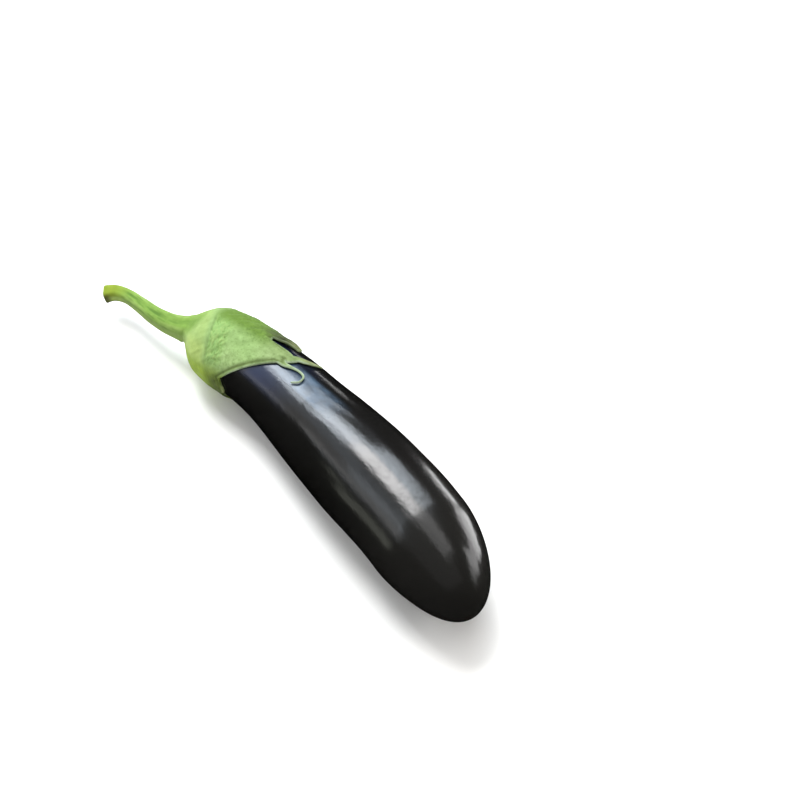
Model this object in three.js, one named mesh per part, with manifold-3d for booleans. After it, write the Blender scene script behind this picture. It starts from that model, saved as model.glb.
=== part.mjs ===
// A long dark eggplant lying on its side, with its green calyx and its bent stem.
// Millimetres, +Z up, +X towards the blossom end. The origin is the middle of the flat
// on the underside that the fruit rests on.
import * as THREE from 'three'
import Module from 'manifold-3d'

// Fruit: stations run along the bowed centre line, from the stem (0) to the blossom end
const fruitLength = 218
const restStation = 130
const girthRadius = 26.9
const neckRadius = 19.7
const swellFrom = 25
const swellTo = 138
const shoulderStart = 5
const shoulderLength = 24
const tipLength = 47
const tipPower = 1.68
const scarRadius = 3.5
const scarDepth = 0.5
const restDepth = 0.5

// Bow of the centre line: both ends turn towards -Y and the stem end is carried higher
const neckBow = 14.2
const neckBowLength = 78
const tipBow = 11.5
const tipBowStart = 148
const neckLift = 4
const neckLiftFrom = 95
const neckLiftTo = 35

// Calyx: a cap that grips the shoulder and ends in five pointed lobes
const gap = 0.3
const capTop = 1.2
const capTopRadius = 4.5
const capRadius = 19.6
const capShoulder = 19
const capThickness = 1.1
const rimThickness = 0.8
const ribHeight = 0.35

// Lobes in order round the cap: the notch before each lobe and then its tip, as an angle
// from the top (towards -Y) and a station; curve shapes the edges and lift raises the tip
const lobes = [
  { notchAngle: 70, notch: 37, tipAngle: -12, tip: 61, curve: 1.05, lift: 0.2 },
  { notchAngle: -25, notch: 47, tipAngle: -44, tip: 60, curve: 1.3, lift: 1.6 },
  { notchAngle: -76, notch: 42, tipAngle: -108, tip: 64, curve: 1.45, lift: 1.2 },
  { notchAngle: -138, notch: 40, tipAngle: -172, tip: 57, curve: 1.4, lift: 0.1 },
  { notchAngle: -214, notch: 36.5, tipAngle: -276, tip: 40.5, curve: 1.5, lift: 0 },
]

// Drawn-out ends of the two lobes on top, as [angle, station] along each: the first lobe
// ends in a straight point and a thin hook, the second in a blunt rolled edge
const straightEnd = {
  places: [[-8, 51], [-17, 57.5], [-25.5, 62.8], [-32, 67.7], [-39, 71], [-48, 74]],
  halfWidths: [2.6, 0.45],
  halfThickness: 0.5,
  lift: 0.2,
}
const hookEnd = {
  places: [[14, 50], [7, 55], [-1, 60.3], [-8, 66], [-12, 71.5], [-10, 75.7], [-3, 77.1], [6, 74.2]],
  halfWidths: [1.5, 0.5],
  halfThickness: 0.5,
  lift: 0.3,
}
const rolledEnd = {
  places: [[-31, 43], [-36, 49], [-41, 55], [-44, 60.5]],
  halfWidths: [2, 1],
  halfThickness: 0.8,
  lift: 1.4,
}

// Stem: a cubic curve that grows out of the cap, given by steps from the stem end of the fruit
const stemRoot = 1.5
const stemControl1 = [-17.6, -14.7, -4]
const stemControl2 = [-42.5, -4.2, -4.1]
const stemEnd = [-51.5, -18.6, -9]
const stemBaseRadius = 6.9
const stemSlimRadius = 3.2
const stemTaper = 1.6
const stemEndFlare = 1.6
const stemRibs = 5
const stemRibDepth = 0.05
const stemTwist = 0.8

// Fineness of the surfaces
const fruitColumns = 48
const fruitRows = 44
const degreesPerColumn = 4.5
const crownRows = 8
const crownEnd = 28
const lobeRows = 6
const liningRows = 9
const stemColumns = 30
const stemRows = 22

const radians = Math.PI / 180
const clamp01 = (t) => Math.min(Math.max(t, 0), 1)
const ease = (t) => clamp01(t) ** 2 * (3 - 2 * clamp01(t))
const softMax = (a, b) => 0.5 * (a + b + Math.hypot(a - b, 0.6))

// Radius of the body before its two ends are rounded
const bodyRadius = (s) => neckRadius + (girthRadius - neckRadius) * ease((s - swellFrom) / (swellTo - swellFrom))

// Radius of the fruit, grown outwards by an even allowance
function fruitRadius(s, grow = 0) {
  const start = shoulderStart - grow
  const shoulder = 1 - clamp01((s - start) / (shoulderLength + grow))
  const tip = clamp01((s - (fruitLength - tipLength)) / tipLength)
  const round = Math.sqrt(Math.max(1 - shoulder ** 2, 0)) * Math.sqrt(Math.max(1 - tip ** tipPower, 0))
  return (bodyRadius(s) + grow) * round
}

// Centre line of the fruit at a station
function centre(s) {
  const neck = Math.max((neckBowLength - s) / neckBowLength, 0)
  const tip = Math.max((s - tipBowStart) / (fruitLength - tipBowStart), 0)
  const lift = neckLift * ease((neckLiftFrom - s) / (neckLiftFrom - neckLiftTo))
  const y = -neckBow * neck ** 2 - tipBow * tip ** 2
  return new THREE.Vector3(s - restStation, y, bodyRadius(s) + lift - restDepth)
}

// Level side and upright directions square to a heading
function across(heading) {
  const side = new THREE.Vector3().crossVectors(heading, new THREE.Vector3(0, 0, 1)).normalize()
  const up = new THREE.Vector3().crossVectors(side, heading).normalize()
  return { side, up, heading }
}

const frameAt = (s) => across(centre(s + 0.05).sub(centre(s - 0.05)).normalize())

// Point at a station, at an angle from the top and at a distance from the centre line
function around(s, angle, distance) {
  const { side, up } = frameAt(s)
  return centre(s).addScaledVector(up, distance * Math.cos(angle)).addScaledVector(side, distance * Math.sin(angle))
}

// Closed skin over rings of points that share one column count, with a pole at each end
function skin(firstPole, rings, lastPole) {
  const columns = rings[0].length
  const points = [firstPole, ...rings.flat(), lastPole]
  const last = points.length - 1
  const index = []
  for (let c = 0; c < columns; c++) {
    const d = (c + 1) % columns
    index.push(0, 1 + d, 1 + c)
    for (let r = 0; r < rings.length - 1; r++) {
      const a = 1 + r * columns
      const b = a + columns
      index.push(a + c, a + d, b + c, b + c, a + d, b + d)
    }
    const a = 1 + (rings.length - 1) * columns
    index.push(last, a + c, a + d)
  }
  const geometry = new THREE.BufferGeometry()
  geometry.setAttribute('position', new THREE.Float32BufferAttribute(points.flatMap((p) => p.toArray()), 3))
  geometry.setIndex(index)
  return geometry
}

// Fruit: rings along the centre line, closer together at the rounded ends, pressed flat below
const onFloor = (point) => point.setZ(Math.max(point.z, 0))
const fruitRings = []
for (let r = 1; r < fruitRows; r++) {
  const s = shoulderStart + (fruitLength - shoulderStart) * 0.5 * (1 - Math.cos(Math.PI * (r / fruitRows)))
  const radius = fruitRadius(s)
  const nearEnd = s > fruitLength / 2
  const dimple = nearEnd ? scarDepth * (1 - ease(radius / scarRadius)) : 0
  const ring = []
  for (let c = 0; c < fruitColumns; c++) {
    const angle = (2 * Math.PI * c) / fruitColumns
    ring.push(onFloor(around(s, angle, radius).addScaledVector(frameAt(s).heading, -dimple)))
  }
  fruitRings.push(ring)
}
const blossomPole = centre(fruitLength).addScaledVector(frameAt(fruitLength).heading, -scarDepth)
const fruitGeometry = skin(centre(shoulderStart), fruitRings, blossomPole)

// Columns of the calyx: every notch and every tip gets its own column, closest at the tips
const columns = []
lobes.forEach((lobe, i) => {
  const next = lobes[(i + 1) % lobes.length]
  const nextNotchAngle = i + 1 < lobes.length ? next.notchAngle : next.notchAngle - 360
  const flanks = [
    { from: lobe.notchAngle, to: lobe.tipAngle, notch: lobe.notch, rising: true },
    { from: lobe.tipAngle, to: nextNotchAngle, notch: next.notch, rising: false },
  ]
  for (const flank of flanks) {
    const count = Math.max(5, Math.round(Math.abs(flank.to - flank.from) / degreesPerColumn))
    for (let k = 0; k < count; k++) {
      const step = k / count
      const spread = flank.rising ? Math.sin((Math.PI / 2) * step) : 1 - Math.cos((Math.PI / 2) * step)
      const part = 0.5 * (step + spread)
      const reach = flank.rising ? part : 1 - part
      columns.push({
        angle: (flank.from + (flank.to - flank.from) * part) * radians,
        rim: flank.notch + (lobe.tip - flank.notch) * reach ** lobe.curve,
        reach,
        lift: lobe.lift,
      })
    }
  }
})
columns.reverse()

// Outer face of the cap: a flared crown that becomes an even layer over the fruit
function capOuter(s, column, along) {
  const crown = capTopRadius + (capRadius - capTopRadius) * Math.sin((Math.PI / 2) * clamp01(s / capShoulder))
  const layer = fruitRadius(s, gap) + capThickness - (capThickness - rimThickness) * along ** 4
  const rib = ribHeight * column.reach ** 3 * ease((s - 4) / 14) * (1 - along ** 2)
  return softMax(crown, layer) + rib + raised(column, along)
}

const raised = (column, along) => column.lift * column.reach ** 2 * along ** 3

// Rings over the crown are level, and those beyond it fan out to the edge of the lobes
const capRings = []
for (let r = 0; r <= crownRows + lobeRows; r++) {
  capRings.push(columns.map((column) => {
    const crown = capTop + (crownEnd - capTop) * Math.min(r / crownRows, 1)
    const s = crown + (column.rim - crownEnd) * Math.max((r - crownRows) / lobeRows, 0)
    return around(s, column.angle, capOuter(s, column, (s - capTop) / (column.rim - capTop)))
  }))
}
const liningStart = shoulderStart - gap
for (let r = liningRows; r > 0; r--) {
  const along = 1 - Math.cos((Math.PI / 2) * (r / liningRows))
  capRings.push(columns.map((column) => {
    const s = liningStart + (column.rim - liningStart) * along
    return around(s, column.angle, fruitRadius(s, gap) + raised(column, (s - capTop) / (column.rim - capTop)))
  }))
}
const capGeometry = skin(centre(capTop), capRings, centre(liningStart))

// Tapered strip that lies along the fruit through [angle, station] places and may rise to its tip
function drawnEnd({ places, halfWidths, halfThickness, lift }) {
  const course = new THREE.CatmullRomCurve3(places.map(([angle, s]) => new THREE.Vector3(angle * radians, s, 0)))
  const place = (t, above) => {
    const { x: angle, y: s } = course.getPoint(t)
    return around(s, angle, fruitRadius(s, gap) + halfThickness + lift * clamp01(t) ** 2 + above)
  }
  const steps = 4 * places.length
  const rings = []
  for (let r = 0; r <= steps; r++) {
    const t = r / steps
    const here = place(t, 0)
    const heading = place(Math.min(t + 0.01, 1), 0).sub(place(Math.max(t - 0.01, 0), 0)).normalize()
    const outward = place(t, 1).sub(here)
    const side = new THREE.Vector3().crossVectors(heading, outward).normalize()
    const up = new THREE.Vector3().crossVectors(side, heading)
    const halfWidth = halfWidths[0] + (halfWidths[1] - halfWidths[0]) * Math.sqrt(t)
    rings.push(Array.from({ length: 8 }, (_, c) => {
      const angle = (2 * Math.PI * c) / 8
      return here.clone()
        .addScaledVector(up, halfThickness * Math.cos(angle))
        .addScaledVector(side, halfWidth * Math.sin(angle))
    }))
  }
  return skin(place(0, 0), rings, place(1, 0))
}

const wasm = await Module()
wasm.setup()

function solid(geometry) {
  const vertProperties = new Float32Array(geometry.getAttribute('position').array)
  const triVerts = new Uint32Array(geometry.getIndex().array)
  return new wasm.Manifold(new wasm.Mesh({ numProp: 3, vertProperties, triVerts }))
}

function geometryOf(body) {
  const mesh = body.getMesh()
  const geometry = new THREE.BufferGeometry()
  geometry.setAttribute('position', new THREE.Float32BufferAttribute(Array.from(mesh.vertProperties), 3))
  geometry.setIndex(Array.from(mesh.triVerts))
  return geometry
}

// Stem: a ribbed rod that narrows away from the cap and is cut straight across
const foot = centre(capTop + stemRoot)
const stemStep = (step) => centre(0).add(new THREE.Vector3(...step))
const stemPath = new THREE.CubicBezierCurve3(foot, stemStep(stemControl1), stemStep(stemControl2), stemStep(stemEnd))
const stemRings = []
for (let r = 0; r <= stemRows; r++) {
  const t = r / stemRows
  const heading = r === 0 ? frameAt(capTop).heading.clone().negate() : stemPath.getTangentAt(t)
  const { side, up } = across(heading)
  const here = stemPath.getPointAt(t)
  const radius = stemSlimRadius + (stemBaseRadius - stemSlimRadius) * (1 - t) ** stemTaper + stemEndFlare * t ** 4
  const ring = []
  for (let c = 0; c < stemColumns; c++) {
    const angle = (2 * Math.PI * c) / stemColumns
    const rib = 1 + stemRibDepth * Math.cos(stemRibs * angle + stemTwist * t)
    ring.push(here.clone()
      .addScaledVector(up, radius * rib * Math.cos(angle))
      .addScaledVector(side, radius * rib * Math.sin(angle)))
  }
  stemRings.push(ring)
}
const stemGeometry = skin(stemPath.getPointAt(0), stemRings, stemPath.getPointAt(1))

// The cap, the ends of its lobes and the stem have grown together and share one colour
const greenGeometry = geometryOf(
  solid(capGeometry)
    .add(solid(drawnEnd(straightEnd)))
    .add(solid(drawnEnd(hookEnd)))
    .add(solid(drawnEnd(rolledEnd)))
    .add(solid(stemGeometry)),
)

function node(name, geometry, color, roughness) {
  geometry.computeVertexNormals()
  const mesh = new THREE.Mesh(geometry, new THREE.MeshStandardMaterial({ color, roughness, metalness: 0 }))
  mesh.name = name
  return mesh
}

const eggplant = new THREE.Group()
eggplant.name = 'eggplant'
eggplant.add(node('fruit', fruitGeometry, 0x1c1a20, 0.25))
eggplant.add(node('calyx_and_stem', greenGeometry, 0x9cc06e, 0.8))

export default eggplant
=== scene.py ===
# %% [markdown]
# A long dark eggplant on a white table
#
# The object has two things to show: a glossy, nearly black fruit, and a felted green cap
# whose pointed lobes lie on the fruit and whose top grows out into a bent stem. Both are
# surfaces worked out with numpy from a few measurements, so that a change of one number
# reshapes the whole thing. The frame that is loaded first is the exact solid model.

import bmesh
import bpy
import numpy as np
from mathutils import Matrix, Vector


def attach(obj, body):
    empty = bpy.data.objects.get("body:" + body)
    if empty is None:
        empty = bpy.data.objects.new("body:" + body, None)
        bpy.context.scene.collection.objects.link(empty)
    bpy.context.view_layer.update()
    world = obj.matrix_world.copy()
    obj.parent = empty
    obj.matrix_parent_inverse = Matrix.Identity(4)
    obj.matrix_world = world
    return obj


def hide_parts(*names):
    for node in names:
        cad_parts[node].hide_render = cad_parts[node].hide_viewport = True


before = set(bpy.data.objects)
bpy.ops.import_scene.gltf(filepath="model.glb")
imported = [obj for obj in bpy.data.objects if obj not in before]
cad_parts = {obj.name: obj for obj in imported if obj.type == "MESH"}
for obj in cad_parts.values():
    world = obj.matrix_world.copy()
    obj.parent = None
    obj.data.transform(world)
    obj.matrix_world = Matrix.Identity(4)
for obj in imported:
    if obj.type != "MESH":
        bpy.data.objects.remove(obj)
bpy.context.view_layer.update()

# %% [markdown]
# Small tools
#
# One helper fades smoothly between 0 and 1, one marks a band with two such fades, one takes
# the larger of two lengths and rounds the corner where they cross, and one draws a smooth
# path through a few places.

# %% Helpers for smooth shapes
DEGREE = np.pi / 180


def ease(t):
    """Smooth step: 0 below 0, 1 above 1, and 3t^2 - 2t^3 between them."""
    t = np.clip(t, 0.0, 1.0)
    return t * t * (3.0 - 2.0 * t)


def soft_max(a, b, corner):
    """The larger of a and b: half of a + b + sqrt((a - b)^2 + corner^2)."""
    return 0.5 * (a + b + np.hypot(a - b, corner))


def bell(t):
    """A bump of height 1 about t = 0: e to the power of -t^2."""
    return np.exp(-t * t)


def between(x, low, low_fade, high, high_fade):
    """1 inside a band and 0 outside it: ease((x - low) / low_fade) * ease((high - x) / high_fade)."""
    return ease((x - low) / low_fade) * ease((high - x) / high_fade)


def in_degrees(angle):
    """Angle in degrees from -180 to 180: the remainder of angle + 180 by 360, less 180."""
    return np.mod(angle / DEGREE + 180, 360) - 180


def unit(v):
    """Vectors along the last axis, each divided by its length."""
    return v / np.linalg.norm(v, axis=-1, keepdims=True)


def smooth_path(places, t):
    """Catmull-Rom curve through the places: on each span a cubic that leaves and arrives
    along half the step between the neighbours, with t from 0 to 1 over all the spans."""
    places = np.asarray(places, float)
    padded = np.vstack([2 * places[0] - places[1], places, 2 * places[-1] - places[-2]])
    spans = len(places) - 1
    span = np.minimum((t * spans).astype(int), spans - 1)
    u = (t * spans - span)[:, None]
    before, start, stop, after = (padded[span + k] for k in range(4))
    leave = 0.5 * (stop - before)
    arrive = 0.5 * (after - start)
    bend = 3 * (stop - start) - 2 * leave - arrive
    twist = 2 * (start - stop) + leave + arrive
    return start + u * (leave + u * (bend + u * twist))


print("ease at a quarter:", ease(0.25))

# %% [markdown]
# The form of the fruit
#
# A fruit like this is a rod with a changing radius round a bowed centre line. Stations run
# along that line from the stem end, and an angle runs round it from the top. It could be
# sculpted, or skinned over a few circles, but a radius and a line given as formulas let the
# cap use the same formulas later, so that it fits the fruit everywhere.

# %% Measurements of the fruit, in metres
FRUIT_LENGTH = 0.218
REST_STATION = 0.130
GIRTH_RADIUS = 0.0269
NECK_RADIUS = 0.0197
SWELL_FROM = 0.025
SWELL_TO = 0.138
SHOULDER_START = 0.005
SHOULDER_LENGTH = 0.024
TIP_LENGTH = 0.047
TIP_POWER = 1.68
NECK_BOW = 0.0142
NECK_BOW_LENGTH = 0.078
TIP_BOW = 0.0115
TIP_BOW_START = 0.148
NECK_LIFT = 0.004
NECK_LIFT_FROM = 0.095
NECK_LIFT_TO = 0.035
REST_DEPTH = 0.0005
SCAR_RADIUS = 0.0035
SCAR_DEPTH = 0.0005

print("fruit", FRUIT_LENGTH, "m long, resting at station", REST_STATION)


# %% Radius and centre line
def body_radius(s):
    """Radius before the ends are rounded: neck, then a smooth step up to the girth."""
    return NECK_RADIUS + (GIRTH_RADIUS - NECK_RADIUS) * ease((s - SWELL_FROM) / (SWELL_TO - SWELL_FROM))


def fruit_radius(s, grow=0.0):
    """Body radius, grown by an allowance, times a quarter ellipse at the shoulder and a
    fuller curve, sqrt(1 - t^1.68), at the blossom end."""
    shoulder = 1 - np.clip((s - SHOULDER_START + grow) / (SHOULDER_LENGTH + grow), 0, 1)
    tip = np.clip((s - FRUIT_LENGTH + TIP_LENGTH) / TIP_LENGTH, 0, 1)
    ends = np.sqrt(1 - shoulder**2) * np.sqrt(1 - tip**TIP_POWER)
    return (body_radius(s) + grow) * ends


def centre_line(s):
    """Centre at a station: straight along X, bowed to -Y by a square at each end, and as
    high as the body is thick, with the neck carried a little higher."""
    neck = np.maximum((NECK_BOW_LENGTH - s) / NECK_BOW_LENGTH, 0)
    tip = np.maximum((s - TIP_BOW_START) / (FRUIT_LENGTH - TIP_BOW_START), 0)
    lift = NECK_LIFT * ease((NECK_LIFT_FROM - s) / (NECK_LIFT_FROM - NECK_LIFT_TO))
    y = -NECK_BOW * neck**2 - TIP_BOW * tip**2
    return np.stack([s - REST_STATION, y, body_radius(s) + lift - REST_DEPTH], -1)


def across(heading):
    """Level side and upright directions square to a heading: heading x Z, then side x heading."""
    side = unit(np.cross(heading, [0.0, 0.0, 1.0]))
    return side, np.cross(side, heading)


def heading_at(s):
    """Direction of the centre line: the difference of two near places, made unit length."""
    return unit(centre_line(s + 0.00005) - centre_line(s - 0.00005))


def around(s, angle, distance):
    """Point at a station: centre + distance * (cos(angle) * upright + sin(angle) * side)."""
    s, angle, distance = np.broadcast_arrays(s, angle, distance)
    side, upright = across(heading_at(s))
    spoke = np.cos(angle)[..., None] * upright + np.sin(angle)[..., None] * side
    return centre_line(s) + distance[..., None] * spoke


print("girth", round(2 * fruit_radius(SWELL_TO), 4), "m at station", SWELL_TO)


# %% [markdown]
# From a grid of points to a piece
#
# Every surface here is a grid: rows along something and columns round it. The faces of a
# grid are known from its size alone, so they come from index arithmetic. Rows run from the
# stem end and columns go up with the angle, which turns every face outwards.

# %% Helpers that make meshes
def ring_faces(index):
    """Quads between neighbouring rows of an index grid whose last column meets its first."""
    beside = np.roll(index, -1, axis=1)
    return np.stack([index[:-1], beside[:-1], beside[1:], index[1:]], -1).reshape(-1, 4)


def sheet_faces(index):
    """Quads between neighbouring rows and columns of an open index grid."""
    return np.stack([index[:-1, :-1], index[:-1, 1:], index[1:, 1:], index[1:, :-1]], -1).reshape(-1, 4)


def make_piece(name, points, faces, values):
    """A smooth mesh object from points and quads, with one number or colour for each point
    under each name in values. Points in one place are joined, as at poles and seams."""
    mesh = bpy.data.meshes.new(name)
    mesh.from_pydata(points, [], faces)
    for key, data in values.items():
        if data.ndim == 1:
            layer = mesh.attributes.new(key, "FLOAT", "POINT")
            layer.data.foreach_set("value", data.astype(np.float32))
        else:
            layer = mesh.attributes.new(key, "FLOAT_COLOR", "POINT")
            opaque = np.column_stack([data, np.ones(len(data))])
            layer.data.foreach_set("color", opaque.astype(np.float32).ravel())
    work = bmesh.new()
    work.from_mesh(mesh)
    bmesh.ops.remove_doubles(work, verts=work.verts, dist=2e-7)
    bmesh.ops.dissolve_degenerate(work, edges=work.edges, dist=1e-8)
    work.to_mesh(mesh)
    work.free()
    edge_of = np.empty(len(mesh.loops), np.int32)
    mesh.loops.foreach_get("edge_index", edge_of)
    loose = int((np.bincount(edge_of, minlength=len(mesh.edges)) != 2).sum())
    mesh.shade_smooth()
    piece = bpy.data.objects.new(name, mesh)
    bpy.context.scene.collection.objects.link(piece)
    print(name, len(mesh.polygons), "faces,", loose, "edges without two faces")
    return piece


# %% [markdown]
# The skin of the fruit
#
# The real skin is never a perfect tube: it has slow dents that make the reflections waver.
# They could be painted as a bump, but then the outline of the highlight would stay too
# clean, so a few long waves are taken off the radius itself. They fade out under the cap
# and at the blossom end, where a small scar is pressed in. The underside is pressed flat
# where the fruit rests.

# %% Slow dents
DENT_FADE = 0.03

# Each wave: depth in metres, turns along the fruit, turns round it, and where it starts
SKIN_WAVES = [
    (0.00008, 1.7, 2, 0.4),
    (0.00006, 2.9, 3, 2.1),
    (0.00004, 4.6, 1, 4.4),
    (0.00003, 7.5, 4, 1.3),
]


def skin_dents(s, angle):
    """Depth taken off the radius: the sum over the waves of depth * (1 + sine), where the
    sine runs along and round the fruit at once, faded out over 30 mm near each end."""
    along = 2 * np.pi * s / FRUIT_LENGTH
    depth = sum(size * (1 + np.sin(u * along + v * angle + start)) for size, u, v, start in SKIN_WAVES)
    return depth * ease((s - DENT_FADE) / DENT_FADE) * ease((FRUIT_LENGTH - s) / DENT_FADE)


print("dents up to", round(2000 * sum(wave[0] for wave in SKIN_WAVES), 2), "mm deep")

# %% Points of the fruit
FRUIT_ROWS = 260
FRUIT_COLUMNS = 224
END_TUCK = 0.00012
TUCK_LENGTH = 0.02

row = np.linspace(0, 1, FRUIT_ROWS)
station = SHOULDER_START + (FRUIT_LENGTH - SHOULDER_START) * 0.5 * (1 - np.cos(np.pi * row))
angle = 2 * np.pi * np.arange(FRUIT_COLUMNS) / FRUIT_COLUMNS
station, angle = np.meshgrid(station, angle, indexing="ij")
radius = fruit_radius(station)
scar = np.where(station > FRUIT_LENGTH / 2, 1 - ease(radius / SCAR_RADIUS), 0.0)
points = around(station, angle, radius - skin_dents(station, angle))

# The blossom end is drawn in by a hair, to stay within the solid, and deeper at its scar
tuck = SCAR_DEPTH * scar + END_TUCK * ease((station - FRUIT_LENGTH + TUCK_LENGTH) / TUCK_LENGTH)
points = points - tuck[..., None] * heading_at(station)
points[..., 2] = np.maximum(points[..., 2], 0.0)
print("fruit grid", station.shape)

# %% [markdown]
# Marks on the skin
#
# By the cap the skin keeps a bluish bloom, which on the upper side is partly painted
# reflection, and beside the highlight on the neck lies paler wax, which is partly painted
# reflection too. The highlight ends on a duller spot, and the blossom end is a little
# browner. The marks could be painted on an image, but that would need unwrapping; here a
# mark is one number from 0 to 1 for each point, and the material reads it later.

# %% Marks and the fruit's piece
degrees = in_degrees(angle)
# Partly painted reflection: bluish colour on the upper side by the cap, partly the skin's own bloom.
bloom_and_reflection = ease((0.090 - station) / 0.045) * ease((46 - np.abs(degrees)) / 16)
# Partly painted reflection: a pale bluish patch beside the neck highlight, partly the skin's wax.
wax_and_reflection = between(station, 0.048, 0.032, 0.112, 0.024) * between(degrees, -25, 9, 11, 6)
end = ease((station - 0.115) / 0.085)
dull = bell((station - 0.171) / 0.012) * bell((degrees - 4) / 22)
marks = {"bloom_and_reflection": bloom_and_reflection, "wax_and_reflection": wax_and_reflection, "dull": dull, "end": end, "scar": scar}
index = np.arange(station.size).reshape(station.shape)
fruit = make_piece(
    "fruit_skin",
    points.reshape(-1, 3),
    ring_faces(index),
    {name: mark.ravel() for name, mark in marks.items()},
)

# %% [markdown]
# The edge of the cap
#
# The cap is a star of lobes. Seen unrolled, with the angle across and the station along, its
# edge is a low line of notches with tongues that reach beyond it. The lobe on top is split:
# one strip curls into a hook, the next runs out straight, and the one beside it is short
# and rolled. A tongue is a path with a half width: a broad base on the notch line, and a
# narrow tip. Making each tongue a small grid of its own lets a thin strip turn right back
# on itself, which a grid that only runs along the fruit could not do.

# %% Notches and tongues
ACROSS = 0.022

# Each part of the edge, in the order of the angle: where it starts as angle in degrees and
# station, its columns, how far its base line sags, and its tongue as places with angle,
# station and half width, with the lift of its tip, the curl of its sides and its browning
EDGE_PARTS = [
    {
        "start": (-290, 0.037), "columns": 24,
        "tongue": [(-273, 0.0390, 0.0036), (-274, 0.0404, 0.0010)],
        "lift": 0.0, "curl": 0.0, "brown": 0.0,
    },
    {
        "start": (-255, 0.037), "columns": 40,
        "tongue": [
            (-196.5, 0.0404, 0.0105),
            (-193, 0.0480, 0.0070),
            (-190, 0.0535, 0.0030),
            (-188, 0.0570, 0.0005),
        ],
        "lift": 0.0001, "curl": 0.0, "brown": 0.2,
    },
    {
        "start": (-138, 0.040), "columns": 32,
        "tongue": [(-107, 0.0500, 0.0058), (-107, 0.0580, 0.0028), (-108, 0.0640, 0.0005)],
        "lift": 0.0012, "curl": 0.0004, "brown": 0.4,
    },
    {
        "start": (-76, 0.042), "columns": 36,
        "tongue": [
            (-41, 0.0490, 0.0045),
            (-40, 0.0530, 0.0028),
            (-39.5, 0.0570, 0.0021),
            (-39.5, 0.0612, 0.0014),
        ],
        "lift": 0.0014, "curl": 0.0008, "brown": 0.9,
    },
    {
        "start": (-25, 0.047), "columns": 28,
        "tongue": [
            (-19.5, 0.0620, 0.0033),
            (-26.5, 0.0645, 0.0021),
            (-32, 0.0677, 0.0018),
            (-39, 0.0710, 0.0011),
            (-48, 0.0740, 0.0003),
        ],
        "lift": 0.0002, "curl": 0.0, "brown": 0.2,
    },
    {
        "start": (-11, 0.0625), "columns": 18,
        "tongue": [
            (-6, 0.0632, 0.0015),
            (-9.5, 0.0672, 0.0008),
            (-12, 0.0715, 0.00055),
            (-11, 0.0752, 0.0005),
            (-6, 0.0769, 0.00048),
            (0, 0.0768, 0.00045),
            (6.5, 0.0740, 0.0004),
        ],
        "lift": 0.0003, "curl": 0.0, "brown": 0.0,
    },
    {"start": (-1, 0.0596), "columns": 96, "sag": 0.0010, "tongue": []},
]
EDGE_END = (70, 0.037)
TONGUE_ROWS = 36

print(len(EDGE_PARTS) - 1, "tongues,", sum(part["columns"] for part in EDGE_PARTS), "columns round the cap")

# %% Unrolled sheet of the cap
CAP_TOP = 0.0012
FOOT_END = 0.014
FOOT_ROWS = 20
CROWN_END = 0.031
CROWN_ROWS = 50
FAN_ROWS = 24

starts = [part["start"] for part in EDGE_PARTS] + [EDGE_END]
column_angle, column_rim, column_inset = [], [], []
for part, start, stop in zip(EDGE_PARTS, starts[:-1], starts[1:]):
    step = np.linspace(-1, 1, part["columns"] + 1)
    w = np.sin(0.5 * np.pi * step) if part["tongue"] else step
    share = 0.5 * (w + 1)
    sag = part.get("sag", 0.0) * 4 * share * (1 - share)
    half_base = 0.5 * np.hypot((stop[0] - start[0]) * DEGREE * ACROSS, stop[1] - start[1])
    column_angle.append((start[0] + (stop[0] - start[0]) * share)[:-1] * DEGREE)
    column_rim.append((start[1] + (stop[1] - start[1]) * share - sag)[:-1])
    column_inset.append(((1 - np.abs(w)) * half_base * bool(part["tongue"]))[:-1])
column_angle = np.concatenate(column_angle)
column_rim = np.concatenate(column_rim)
column_inset = np.concatenate(column_inset)

# Level rows over the crown, closest where it is wrinkled, then rows that fan out to the notch line
levels = np.concatenate([
    np.linspace(CAP_TOP, FOOT_END, FOOT_ROWS, endpoint=False),
    np.linspace(FOOT_END, CROWN_END, CROWN_ROWS),
])
crown = levels[:, None] + 0 * column_rim
fan = CROWN_END + np.linspace(0, 1, FAN_ROWS + 1)[1:, None] * (column_rim - CROWN_END)
cap_station = np.vstack([crown, fan])
cap_angle = column_angle + 0 * cap_station
cap_inset = column_rim - cap_station + column_inset
cap_index = np.arange(cap_station.size).reshape(cap_station.shape)
print("cap grid", cap_station.shape)


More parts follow.
